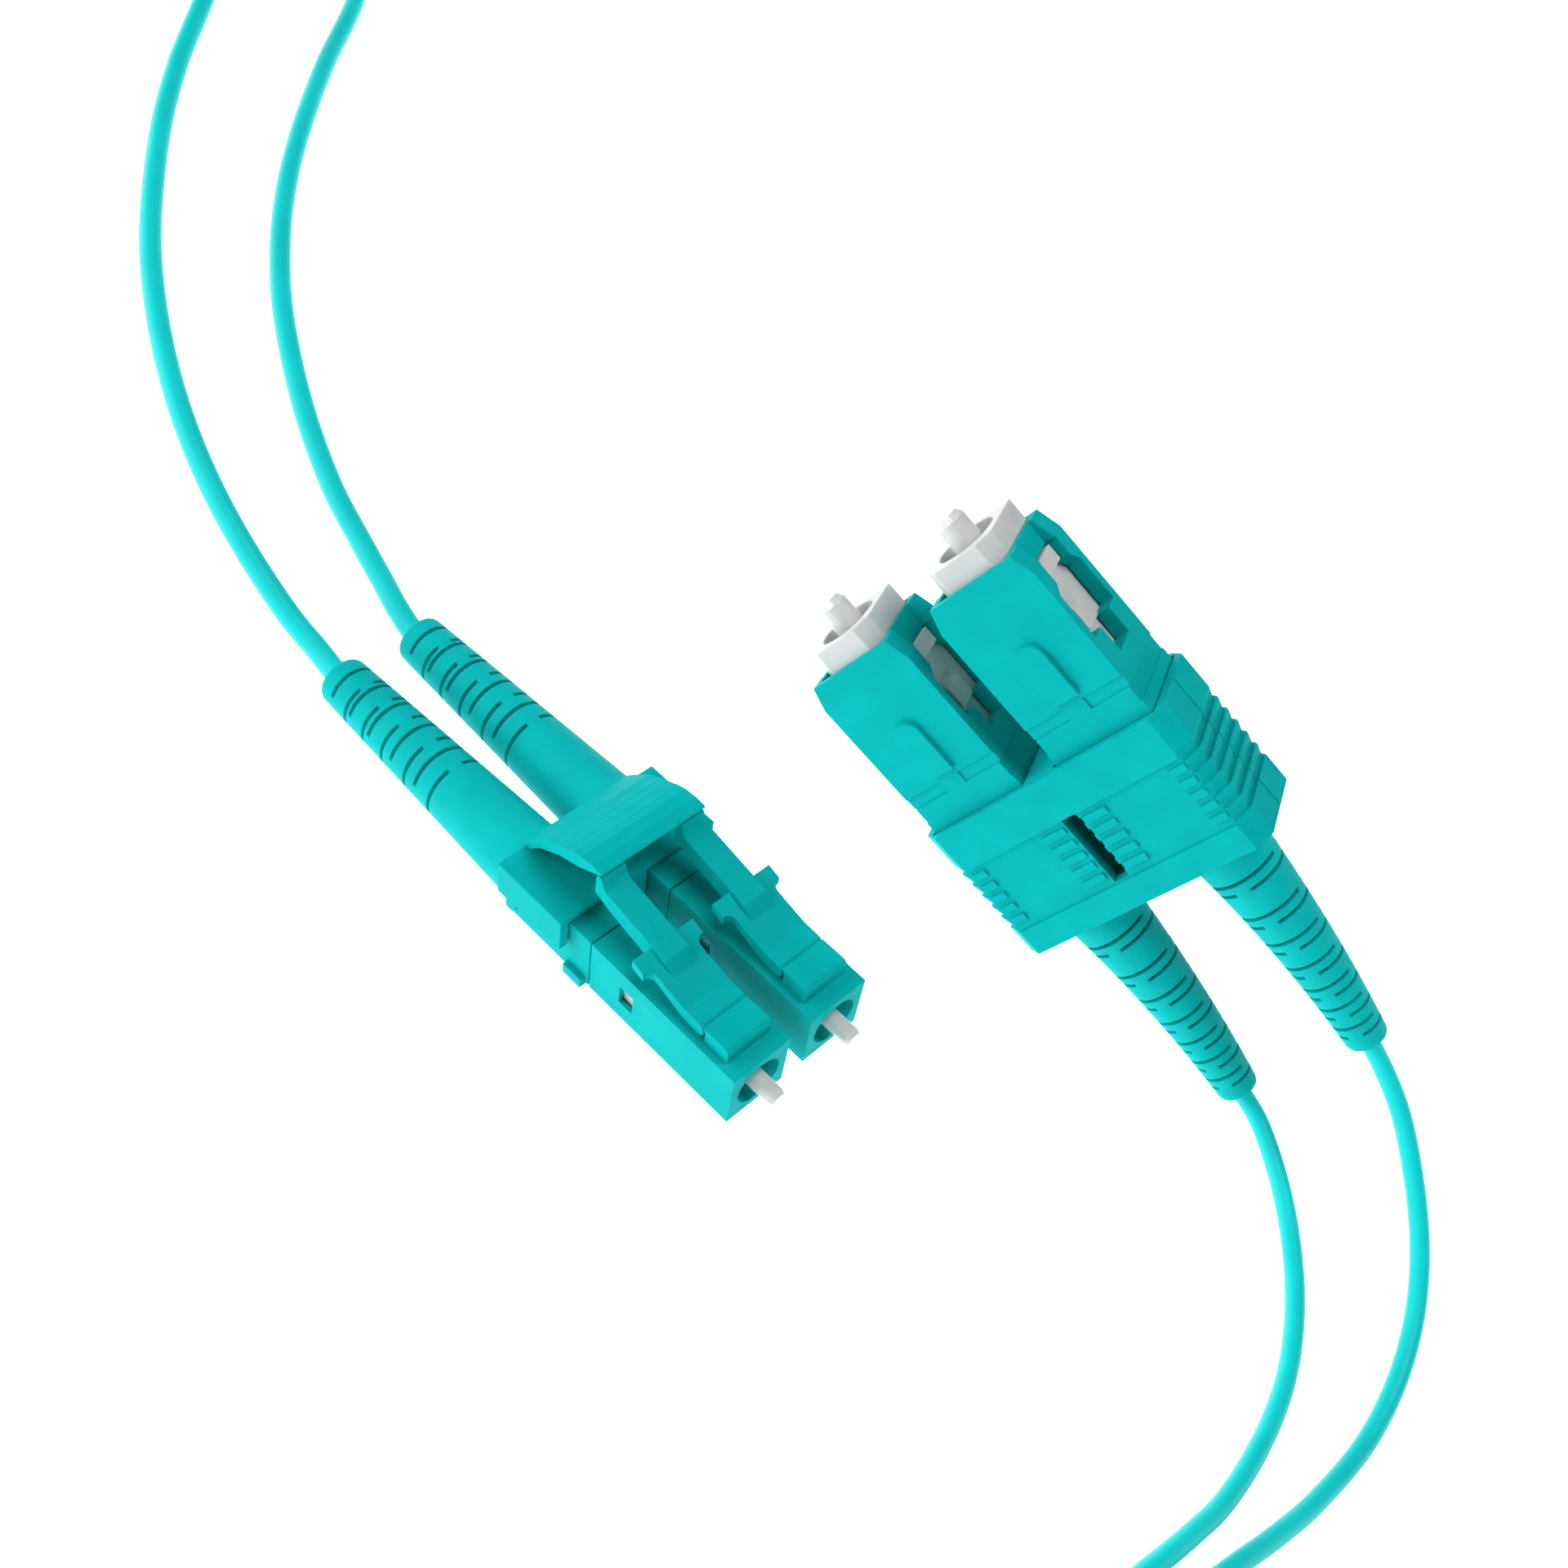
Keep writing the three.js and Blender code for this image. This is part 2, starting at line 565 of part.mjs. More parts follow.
const CORD_ROUTES = {
  // from the LC boots to the coil
  cord_lc_a: {
    steps: 22,
    points: [
      [-37.31, 11.43, 3.58], [-38.4, 13.4, 3.1],
      [-39.6, 16.2, 2.5], [-41.0, 19.3, 1.9], [-43.3, 24.2, 1.15], [-45.6, 29.9, 0.86],
      [-47.5, 35.8, 0.82], [-49.0, 42.3, 0.82], [-49.8, 49.6, 0.82], [-49.9, 56.0, 0.82],
      [-49.5, 63.0, 0.82], [-48.4, 73.0, 0.82], [-46.5, 85.4, 0.82], [-46.4, 92.5, 0.82],
      [-48.6, 99.5, 0.82], [-53.4, 105.2, 0.82], [-59.8, 108.8, 0.82], [-66.2, 110.4, 0.82],
    ],
  },
  cord_lc_b: {
    steps: 16,
    points: [
      [-41.65, 7.37, 1.64], [-43.1, 9.3, 1.2],
      [-45.0, 11.4, 0.9], [-48.4, 15.6, 0.82], [-51.5, 20.2, 0.82], [-54.1, 25.2, 0.82],
      [-56.2, 30.6, 0.82], [-57.9, 36.6, 0.82], [-59.1, 43.0, 0.82], [-60.0, 54.4, 0.82],
      [-59.9, 63.3, 0.82], [-59.2, 72.0, 0.82], [-58.6, 80.2, 0.82],
    ],
  },
  // from the coil to the SC boots
  cord_sc_a: {
    steps: 36,
    points: [
      [-91.4, 80.0, 5.3], [-91.1, 71.0, 4.0], [-90.2, 61.0, 2.2], [-89.0, 51.0, 1.05],
      [-87.4, 40.0, 0.82], [-84.6, 24.0, 0.82], [-81.4, 8.0, 0.82], [-78.0, -9.0, 0.82],
      [-74.2, -25.0, 0.82], [-69.0, -39.0, 0.82], [-60.5, -49.5, 0.82], [-47.0, -55.2, 0.82],
      [-30.0, -56.6, 0.82], [-13.0, -55.3, 0.82], [1.0, -52.2, 0.82], [12.5, -47.9, 0.82],
      [21.3, -43.3, 0.82], [25.6, -40.9, 0.82], [29.6, -38.4, 0.82], [35.5, -33.1, 0.82],
      [39.8, -27.7, 0.82], [42.5, -22.1, 0.82], [43.9, -16.4, 0.84], [44.1, -10.9, 0.92],
      [42.9, -6.0, 1.2], [40.87, -3.91, 1.67],
    ],
  },
  cord_sc_b: {
    steps: 40,
    points: [
      [-93.0, 82.6, 5.4], [-93.4, 73.0, 4.1], [-93.2, 62.0, 2.2], [-92.2, 51.0, 1.05],
      [-90.8, 40.0, 0.82], [-88.1, 24.0, 0.82], [-85.0, 7.0, 0.82], [-81.6, -10.0, 0.82],
      [-77.9, -27.0, 0.82], [-72.6, -42.0, 0.82], [-63.0, -53.6, 0.82], [-48.0, -59.8, 0.82],
      [-30.0, -61.2, 0.82], [-12.0, -59.6, 0.82], [4.0, -55.3, 0.82], [17.0, -49.0, 0.82],
      [23.5, -45.6, 0.82], [29.1, -42.8, 0.82], [34.7, -40.1, 0.85], [39.5, -37.4, 1.05],
      [46.2, -32.3, 2.0], [49.9, -27.2, 3.7], [51.06, -22.5, 5.9], [50.4, -18.0, 8.3],
      [48.6, -13.6, 10.6], [46.1, -8.9, 12.7], [42.34, -4.72, 14.26],
    ],
  },
};

function cordTube({ points, steps }) {
  const knots = points.map((point) => new THREE.Vector3(...point));
  const path = new THREE.CatmullRomCurve3(knots, false, 'centripetal');
  const section = outline(arc(0, 0, CORD_R, 0, 315, 7));
  return solid(new THREE.ExtrudeGeometry(section, { steps, extrudePath: path }));
}

function coilRing() {
  const { at, inner, outer, bottom, top } = COIL;
  const round = 0.5;
  const profile = [
    [inner, bottom + round], [inner + round, bottom], [outer - round, bottom], [outer, bottom + round],
    [outer, top - round], [outer - round, top], [inner + round, top], [inner, top - round],
    [inner, bottom + round],
  ].map(([r, z]) => new THREE.Vector2(r, z));
  const geometry = new THREE.LatheGeometry(profile, 40);
  geometry.rotateX(Math.PI / 2);
  geometry.translate(at[0], at[1], 0);
  return outward(geometry);
}

// the band passes under the coil, up both sides, over it, and laps over its own end
function coilTie() {
  const { at, inner, outer, bottom, top } = COIL;
  const near = at[1] - outer - JOIN_GAP - 0.1;
  const far = at[1] - inner + JOIN_GAP + 0.35;
  const hole = [bottom - JOIN_GAP, top + JOIN_GAP];
  const x = [at[0] - TIE_W / 2, at[0] + TIE_W / 2];
  const band = box(x, [near - TIE_T, far + TIE_T], [hole[0] - TIE_T, hole[1] + TIE_T]);
  const lap = box([x[0] + 0.3, x[1] - 0.3], [near + 1, far - 1.5], [hole[1] + 0.1, hole[1] + 2 * TIE_T]);
  return band.subtract(box([x[0] - 1, x[1] + 1], [near, far], hole)).add(lap);
}

// ---- laying the plugs down ----------------------------------------------------------------

function lay(plug, pose) {
  const rad = THREE.MathUtils.degToRad;
  plug.position.set(...pose.at);
  plug.rotation.set(rad(pose.roll), rad(-pose.noseUp), rad(pose.heading), 'ZYX');
  return plug;
}

const cordSet = new THREE.Group();
cordSet.add(lay(lcPlug(), LC_POSE));
cordSet.add(lay(scPlug(), SC_POSE));
for (const [name, route] of Object.entries(CORD_ROUTES)) {
  cordSet.add(part(name, cordTube(route), AQUA_CORD));
}
cordSet.add(part('cord_coil', coilRing(), AQUA_CORD));
cordSet.add(part('cord_tie', coilTie(), TIE));

export default cordSet;
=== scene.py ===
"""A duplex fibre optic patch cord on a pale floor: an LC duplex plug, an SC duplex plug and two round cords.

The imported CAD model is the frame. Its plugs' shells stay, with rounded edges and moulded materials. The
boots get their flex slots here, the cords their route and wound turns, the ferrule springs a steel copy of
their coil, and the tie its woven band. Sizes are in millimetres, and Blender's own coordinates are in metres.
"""

import math

import bmesh
import bpy
from mathutils import Matrix, Vector


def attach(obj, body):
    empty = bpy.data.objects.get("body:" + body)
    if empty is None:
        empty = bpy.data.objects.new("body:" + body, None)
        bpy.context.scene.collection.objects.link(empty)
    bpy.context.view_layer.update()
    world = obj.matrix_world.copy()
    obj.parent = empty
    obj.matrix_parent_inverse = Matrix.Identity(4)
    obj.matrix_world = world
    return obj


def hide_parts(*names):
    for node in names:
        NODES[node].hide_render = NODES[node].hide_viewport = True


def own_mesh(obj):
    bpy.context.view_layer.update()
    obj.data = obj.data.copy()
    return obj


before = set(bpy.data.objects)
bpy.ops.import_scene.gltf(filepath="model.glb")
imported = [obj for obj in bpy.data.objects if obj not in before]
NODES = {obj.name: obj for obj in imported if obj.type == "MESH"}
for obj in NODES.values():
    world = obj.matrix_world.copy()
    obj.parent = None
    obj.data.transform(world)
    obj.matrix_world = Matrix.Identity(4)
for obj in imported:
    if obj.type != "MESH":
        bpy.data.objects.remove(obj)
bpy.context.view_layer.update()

MM = 0.001

# where each plug lies: its own x runs out of its nose, y to its left, z up past its latch or key
LC_POSE = {"at": (-17.14, -21.17, 16.4), "heading": -53.8, "nose_up": 20.0, "roll": 19.3}
SC_POSE = {"at": (-2.3, 20.42, 16.62), "heading": 150.6, "nose_up": 7.6, "roll": -90.0}
LC_PITCH = 6.25
SC_PITCH = 12.7

CORD_D = 1.6
BOOT_BORE = 0.92                  # a boot's bore radius around the cord
CORD_STEP = 0.8                   # between the points of a cord's finished line
CORD_SIDES = 20
FLOOR_Z = 0.82                    # a lying cord's middle

COIL_AT = (-75.0, 91.67)
COIL_OUTER = 18.0                 # to the middle of the outermost strand
COIL_LAYERS = 4
COIL_TURNS = 6.5                  # of the inner strand, over all the layers
COIL_RISE = 0.16                  # the part of a turn that a strand takes to climb a layer
COIL_POINTS = 24                  # for each turn
TIE_BEARING = 270.0               # where the tie is, round the coil from +X
TIE_LIFT = 0.42                   # how far the tie under the coil lifts it
TIE_RAMP = 50.0                   # degrees of the coil, each side of the tie, over which it rises
TIE_SIZE = {
    "width": 5.0, "thick": 0.35, "corner": 1.2,
    "inner": 9.9, "outer": 19.15, "low": 0.05, "high": 7.0,
}


# ---- camera -------------------------------------------------------------------------------

CAMERA = {"at": (-73.8, -69.93, 91.51), "heading": 40.0, "down": 40.16, "roll": 48.1, "lens": 41.25}


def make_camera():
    """The camera, aimed by its compass heading, how far it looks down and its roll, all in degrees."""
    heading = math.radians(CAMERA["heading"])
    down = math.radians(CAMERA["down"])
    roll = math.radians(CAMERA["roll"])
    ahead = Vector((math.sin(heading) * math.cos(down), math.cos(heading) * math.cos(down), -math.sin(down)))
    level = Vector((math.cos(heading), -math.sin(heading), 0))
    right = level * math.cos(roll) + level.cross(ahead) * math.sin(roll)
    up = right.cross(ahead)
    camera = bpy.data.objects.new("camera", bpy.data.cameras.new("camera"))
    camera.data.lens = CAMERA["lens"]
    camera.data.sensor_width = 36.0
    camera.data.clip_start = 0.002
    camera.data.clip_end = 20.0
    turn = Matrix((right, up, -ahead)).transposed().to_4x4()
    camera.matrix_world = Matrix.Translation(Vector(CAMERA["at"]) * MM) @ turn
    bpy.context.scene.collection.objects.link(camera)
    bpy.context.scene.camera = camera


# ---- the plugs' own frames ----------------------------------------------------------------

# Places are along each plug's own x. "rings" are where the mesh has its rings, and "straight_until" is how
# far before the rear end the plain taper stops. "lip" then rounds that end: how far before it, and how much
# thinner. "slots" are where the pairs of flex slots are cut, "apart" is the distance between the two of a
# pair, and "spine" is half the width left between two facing cuts.
LC_BOOT = {
    "front": -20.05, "rear": -39.9, "front_r": 2.58, "rear_r": 1.73,
    "rings": (-23.0, -26.0, -30.0, -34.0, -37.0), "straight_until": 0.3, "lip": ((0.1, 0.07), (0.0, 0.22)),
    "slots": (-27.8, -30.4, -32.9, -35.0, -37.0), "apart": 1.5, "slot_width": 0.3, "spine": 0.5,
}
SC_BOOT = {
    "front": -26.25, "leaves": -28.65, "rear": -50.7, "front_r": 3.35, "rear_r": 1.78, "droop": 1.85,
    "ring_count": 14, "straight_until": 0.4, "lip": ((0.12, 0.09), (0.0, 0.28)),
    "slots": (-31.5, -35.2, -38.2, -41.0, -43.5, -45.8, -48.0),
    "apart": 1.0, "slot_width": 0.34, "spine": 0.6,
}
LC_CORD_INSIDE = (-24.0, -30.0, -36.0)
SC_CORD_INSIDE = (-48.0, -44.0, -40.0, -36.0, -31.0)
LC_SPRING = {"rear": -16.1, "front": -10.0}
SC_SPRING = {"rear": -19.54, "front": -10.66}


def plug_matrix(pose):
    """From a plug's own frame in millimetres to the row frame in metres."""
    turn = (
        Matrix.Rotation(math.radians(pose["heading"]), 4, "Z")
        @ Matrix.Rotation(math.radians(-pose["nose_up"]), 4, "Y")
        @ Matrix.Rotation(math.radians(pose["roll"]), 4, "X")
    )
    return Matrix.Diagonal((MM, MM, MM, 1)) @ Matrix.Translation(pose["at"]) @ turn


def sc_part_way(x):
    """How far along the free part of an SC boot x is, 0 to 1."""
    return max(0.0, (SC_BOOT["leaves"] - x) / (SC_BOOT["leaves"] - SC_BOOT["rear"]))


def sc_sag(x):
    """How far the middle of an SC boot has sagged to the plug's left at x."""
    return SC_BOOT["droop"] * sc_part_way(x) ** 2


def inside_lc(y):
    """The cord's line inside an LC boot, front to rear, in row millimetres."""
    place = plug_matrix(LC_POSE)
    return [place @ Vector((x, y, 0)) / MM for x in LC_CORD_INSIDE]


def inside_sc(y):
    """The cord's line inside an SC boot, rear to front, in row millimetres."""
    place = plug_matrix(SC_POSE)
    return [place @ Vector((x, y + sc_sag(x), 0)) / MM for x in SC_CORD_INSIDE]


# ---- cords --------------------------------------------------------------------------------

CORD_ROUTES = {
    "cord_lc_a": [
        (-37.31, 11.43, 3.58), (-38.4, 13.4, 3.1),
        (-39.6, 16.2, 2.5), (-41.0, 19.3, 1.9), (-43.3, 24.2, 1.15), (-45.6, 29.9, 0.86),
        (-47.5, 35.8, 0.82), (-49.0, 42.3, 0.82), (-49.8, 49.6, 0.82), (-49.9, 56.0, 0.82),
        (-49.5, 63.0, 0.82), (-48.4, 73.0, 0.82), (-46.5, 85.4, 0.82), (-46.4, 92.5, 0.82),
        (-48.6, 99.5, 0.82), (-53.4, 105.2, 0.82), (-59.8, 108.8, 0.82), (-66.2, 110.4, 0.82),
    ],
    "cord_lc_b": [
        (-41.65, 7.37, 1.64), (-43.1, 9.3, 1.2),
        (-45.0, 11.4, 0.9), (-48.4, 15.6, 0.82), (-51.5, 20.2, 0.82), (-54.1, 25.2, 0.82),
        (-56.2, 30.6, 0.82), (-57.9, 36.6, 0.82), (-59.1, 43.0, 0.82), (-60.0, 54.4, 0.82),
        (-59.9, 63.3, 0.82), (-59.2, 72.0, 0.82), (-58.6, 80.2, 0.82),
    ],
    "cord_sc_a": [
        (-91.4, 80.0, 5.3), (-91.1, 71.0, 4.0), (-90.2, 61.0, 2.2), (-89.0, 51.0, 1.05),
        (-87.4, 40.0, 0.82), (-84.6, 24.0, 0.82), (-81.4, 8.0, 0.82), (-78.0, -9.0, 0.82),
        (-74.2, -25.0, 0.82), (-69.0, -39.0, 0.82), (-60.5, -49.5, 0.82), (-47.0, -55.2, 0.82),
        (-30.0, -56.6, 0.82), (-13.0, -55.3, 0.82), (1.0, -52.2, 0.82), (12.5, -47.9, 0.82),
        (21.3, -43.3, 0.82), (25.6, -40.9, 0.82), (29.6, -38.4, 0.82), (35.5, -33.1, 0.82),
        (39.8, -27.7, 0.82), (42.5, -22.1, 0.82), (43.9, -16.4, 0.84), (44.1, -10.9, 0.92),
        (42.9, -6.0, 1.2), (40.87, -3.91, 1.67),
    ],
    "cord_sc_b": [
        (-93.0, 82.6, 5.4), (-93.4, 73.0, 4.1), (-93.2, 62.0, 2.2), (-92.2, 51.0, 1.05),
        (-90.8, 40.0, 0.82), (-88.1, 24.0, 0.82), (-85.0, 7.0, 0.82), (-81.6, -10.0, 0.82),
        (-77.9, -27.0, 0.82), (-72.6, -42.0, 0.82), (-63.0, -53.6, 0.82), (-48.0, -59.8, 0.82),
        (-30.0, -61.2, 0.82), (-12.0, -59.6, 0.82), (4.0, -55.3, 0.82), (17.0, -49.0, 0.82),
        (23.5, -45.6, 0.82), (29.1, -42.8, 0.82), (34.7, -40.1, 0.85), (39.5, -37.4, 1.05),
        (46.2, -32.3, 2.0), (49.9, -27.2, 3.7), (51.06, -22.5, 5.9), (50.4, -18.0, 8.3),
        (48.6, -13.6, 10.6), (46.1, -8.9, 12.7), (42.34, -4.72, 14.26),
    ],
}


def smooth(t):
    """An even rise from 0 to 1 as t goes from 0 to 1, level at both ends."""
    t = min(1.0, max(0.0, t))
    return t * t * (3 - 2 * t)


def tie_lift(bearing):
    """How far the tie under the coil lifts a strand at this bearing."""
    away = abs((bearing - TIE_BEARING + 180) % 360 - 180)
    return TIE_LIFT * smooth(1 - away / TIE_RAMP)


def coil_strand(inset, begins):
    """A strand's turns: layer by layer, in to the middle and out again, two diameters a turn."""
    turns_each = COIL_TURNS / COIL_LAYERS
    count = int((COIL_TURNS - begins) * COIL_POINTS)
    points = []
    for i in range(count + 1):
        turn = begins + (COIL_TURNS - begins) * i / count
        layer = min(COIL_LAYERS - 1, int(turn / turns_each))
        into = turn - layer * turns_each
        first = COIL_RISE / 2 if layer > 0 else 0.0
        last = turns_each - (COIL_RISE / 2 if layer < COIL_LAYERS - 1 else 0.0)
        wound = min(max(into, first), last) - first
        inwards = wound if layer % 2 == 0 else last - first - wound
        z = FLOOR_Z + layer * CORD_D
        if layer > 0 and into < COIL_RISE / 2:
            z -= CORD_D * (1 - smooth(0.5 + into / COIL_RISE))
        if layer < COIL_LAYERS - 1 and into > turns_each - COIL_RISE / 2:
            z += CORD_D * smooth((into - turns_each) / COIL_RISE + 0.5)
        r = COIL_OUTER - inset - 2 * CORD_D * inwards
        angle = 2 * math.pi * turn
        z += tie_lift(math.degrees(angle) % 360)
        points.append((COIL_AT[0] + r * math.cos(angle), COIL_AT[1] + r * math.sin(angle), z))
    return points


def smooth_line(points, step):
    """Points close together on one smooth curve through the given points."""
    knots = [Vector(p) for p in points]
    knots = [2 * knots[0] - knots[1], *knots, 2 * knots[-1] - knots[-2]]
    line = []
    for before, here, there, after in zip(knots, knots[1:], knots[2:], knots[3:]):
        spans = ((before, here), (here, there), (there, after))
        gaps = [math.sqrt(max(1e-6, (b - a).length)) for a, b in spans]
        leave = (here - before) / gaps[0] - (there - before) / (gaps[0] + gaps[1]) + (there - here) / gaps[1]
        arrive = (there - here) / gaps[1] - (after - here) / (gaps[1] + gaps[2]) + (after - there) / gaps[2]
        leave *= gaps[1]
        arrive *= gaps[1]
        count = max(1, round((there - here).length / step))
        for i in range(count):
            t = i / count
            line.append(
                (2 * t**3 - 3 * t**2 + 1) * here + (t**3 - 2 * t**2 + t) * leave
                + (3 * t**2 - 2 * t**3) * there + (t**3 - t**2) * arrive
            )
    line.append(knots[-2])
    return line


def swept(line, radius, sides):
    """A closed round tube along a line, its section carried along without twisting."""
    mesh = bmesh.new()
    side = Vector((0, 0, 1))
    turns = [2 * math.pi * k / sides for k in range(sides)]
    loops = []
    for i, at in enumerate(line):
        ahead = (line[min(i + 1, len(line) - 1)] - line[max(i - 1, 0)]).normalized()
        side = (side - ahead * side.dot(ahead)).normalized()
        other = ahead.cross(side)
        loops.append([
            mesh.verts.new(at + radius * (side * math.cos(a) + other * math.sin(a))) for a in turns
        ])
    for here, there in zip(loops, loops[1:]):
        for k in range(sides):
            n = (k + 1) % sides
            mesh.faces.new((here[k], here[n], there[n], there[k])).smooth = True
    mesh.faces.new(reversed(loops[0]))
    mesh.faces.new(loops[-1])
    return mesh


def as_object(mesh, name):
    """Puts a finished bmesh into the scene as an object."""
    data = bpy.data.meshes.new(name)
    mesh.to_mesh(data)
    mesh.free()
    made = bpy.data.objects.new(name, data)
    bpy.context.scene.collection.objects.link(made)
    return made


def make_cord(name, lc_y, route, sc_y, nodes):
    """One cord from inside its LC boot to inside its SC boot, in place of the CAD's stretches of it."""
    whole = [*inside_lc(lc_y), *route, *inside_sc(sc_y)]
    line = [at * MM for at in smooth_line(whole, CORD_STEP)]
    cord = as_object(swept(line, CORD_D / 2 * MM, CORD_SIDES), name)
    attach(cord, "root")
    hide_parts(*nodes)
    return cord


make_camera()
outer_turns = coil_strand(inset=0.0, begins=0.30)
inner_turns = coil_strand(inset=CORD_D, begins=0.0)
outer_route = [*CORD_ROUTES["cord_lc_a"], *outer_turns, *CORD_ROUTES["cord_sc_b"]]
inner_route = [*CORD_ROUTES["cord_lc_b"], *inner_turns, *CORD_ROUTES["cord_sc_a"]]
cords = [
    make_cord(
        "cord_outer", LC_PITCH / 2, outer_route, -SC_PITCH / 2,
        ["cord_lc_a", "cord_sc_b", "cord_coil"],
    ),
    make_cord(
        "cord_inner", -LC_PITCH / 2, inner_route, SC_PITCH / 2,
        ["cord_lc_b", "cord_sc_a"],
    ),
]


# ---- materials ----------------------------------------------------------------------------

def colour(hex_code):
    """Linear colour of an sRGB hex code."""
    parts = [int(hex_code[i:i + 2], 16) / 255 for i in (0, 2, 4)]
    linear = [c / 12.92 if c <= 0.04045 else ((c + 0.055) / 1.055) ** 2.4 for c in parts]
    return (*linear, 1.0)


SCATTER_RADIUS = (0.4, 1.0, 1.0)  # how far red, green and blue go in the plastics, one against another


class Material:
    """A node material in the object's own coordinates, with the few kinds of node that they all use."""

    def __init__(self, name):
        self.material = bpy.data.materials.new(name)
        self.material.use_nodes = True
        self.nodes = self.material.node_tree.nodes
        self.links = self.material.node_tree.links
        self.shader = self.nodes["Principled BSDF"]
        self.place = self.nodes.new("ShaderNodeTexCoord").outputs["Object"]

    def set(self, **values):
        for name, value in values.items():
            self.shader.inputs[name.replace("_", " ")].default_value = value

    def noise(self, per_mm, detail=4.0):
        node = self.nodes.new("ShaderNodeTexNoise")
        node.inputs["Scale"].default_value = per_mm / MM
        node.inputs["Detail"].default_value = detail
        self.links.new(self.place, node.inputs["Vector"])
        return node.outputs["Fac"]

    def between(self, factor, low, high):
        node = self.nodes.new("ShaderNodeMapRange")
        node.inputs["From Min"].default_value = 0.3
        node.inputs["From Max"].default_value = 0.7
        node.inputs["To Min"].default_value = low
        node.inputs["To Max"].default_value = high
        self.links.new(factor, node.inputs["Value"])
        return node.outputs["Result"]

    def mix(self, factor, first, second):
        node = self.nodes.new("ShaderNodeMix")
        node.data_type = "RGBA"
        node.inputs["A"].default_value = first
        node.inputs["B"].default_value = second
        self.links.new(factor, node.inputs["Factor"])
        return node.outputs["Result"]

    def bump(self, height, depth_mm, normal=None):
        node = self.nodes.new("ShaderNodeBump")
        node.inputs["Distance"].default_value = depth_mm * MM
        node.inputs["Strength"].default_value = 1.0
        self.links.new(height, node.inputs["Height"])
        if normal is not None:
            self.links.new(normal, node.inputs["Normal"])
        return node.outputs["Normal"]

    def feed(self, name, output):
        self.links.new(output, self.shader.inputs[name.replace("_", " ")])


def moulded(name, base, shade, rough, grain_mm, gloss, through):
    """Moulded plastic: a faint cloudy tint, a fine spark-eroded grain and slow flow marks."""
    made = Material(name)
    cloudy = made.noise(0.35, detail=2.0)
    grain = made.noise(14.0, detail=3.0)
    flow = made.noise(0.8, detail=1.0)
    made.feed("Base_Color", made.mix(made.between(cloudy, 0.0, 1.0), base, shade))
    made.feed("Roughness", made.between(grain, rough - 0.05, rough + 0.08))
    ripple = made.bump(flow, 0.02)
    made.feed("Normal", made.bump(grain, grain_mm, ripple))
    made.set(IOR=1.45, Specular_IOR_Level=gloss, Subsurface_Weight=through, Subsurface_Scale=0.8 * MM)
    made.shader.inputs["Subsurface Radius"].default_value = SCATTER_RADIUS
    return made.material


def jacket():
    """The cord's extruded jacket: smooth, slightly waxy, with faint draw marks."""
    made = Material("jacket")
    cloudy = made.noise(0.15, detail=2.0)
    fine = made.noise(6.0, detail=2.0)
    made.feed("Base_Color", made.mix(made.between(cloudy, 0.0, 1.0), colour("08cccc"), colour("0ad8d8")))
    made.feed("Roughness", made.between(fine, 0.38, 0.5))
    made.feed("Normal", made.bump(fine, 0.006))
    made.set(IOR=1.45, Specular_IOR_Level=0.2, Subsurface_Weight=0.1, Subsurface_Scale=0.6 * MM)
    made.shader.inputs["Subsurface Radius"].default_value = SCATTER_RADIUS
    return made.material


def ceramic():
    """The ferrules' polished zirconia."""
    made = Material("zirconia")
    grain = made.noise(20.0, detail=2.0)
    made.feed("Base_Color", made.mix(made.between(grain, 0.0, 1.0), colour("d2d2d0"), colour("dadad8")))
    made.feed("Roughness", made.between(grain, 0.12, 0.2))
    made.set(IOR=1.7, Coat_Weight=0.1, Coat_Roughness=0.08)
    return made.material


def plated(name, tint, rough):
    """Bright metal with a faint smear."""
    made = Material(name)
    smear = made.noise(3.0, detail=3.0)
    made.feed("Base_Color", made.mix(made.between(smear, 0.0, 1.0), colour(tint), colour("cfcfcb")))
    made.feed("Roughness", made.between(smear, rough - 0.06, rough + 0.08))
    made.feed("Normal", made.bump(made.noise(12.0), 0.004))
    made.set(Metallic=1.0)
    return made.material


def woven():
    """A woven hook-and-loop band: crossing ribs with a fuzzy grain over them."""
    made = Material("woven_band")
    wave = made.nodes.new("ShaderNodeTexWave")
    wave.inputs["Scale"].default_value = 0.9 / MM
    wave.inputs["Distortion"].default_value = 1.5
    made.links.new(made.place, wave.inputs["Vector"])
    fuzz = made.noise(9.0, detail=4.0)
    made.feed("Base_Color", made.mix(fuzz, colour("101012"), colour("2a2a2e")))
    made.feed("Normal", made.bump(fuzz, 0.05, made.bump(wave.outputs["Fac"], 0.08)))
    made.set(Roughness=0.85, Sheen_Weight=0.4)
    return made.material


PLASTIC = moulded("aqua_plastic", colour("08acac"), colour("08b4b4"), 0.42, 0.010, gloss=0.01, through=0.05)
BOOT = moulded("aqua_boot", colour("08b4b4"), colour("08bcbc"), 0.5, 0.012, gloss=0.03, through=0.05)
WHITE = moulded("white_plastic", colour("cccccc"), colour("d4d4d4"), 0.35, 0.006, gloss=0.1, through=0.2)
JACKET = jacket()
CERAMIC = ceramic()
PLATED = plated("nickel", "b9b7b0", 0.28)
STEEL = plated("spring_steel", "a8abb0", 0.32)
BAND = woven()


# ---- CAD nodes that stay: rounded edges and a material ------------------------------------

WELD_REACH = 0.002
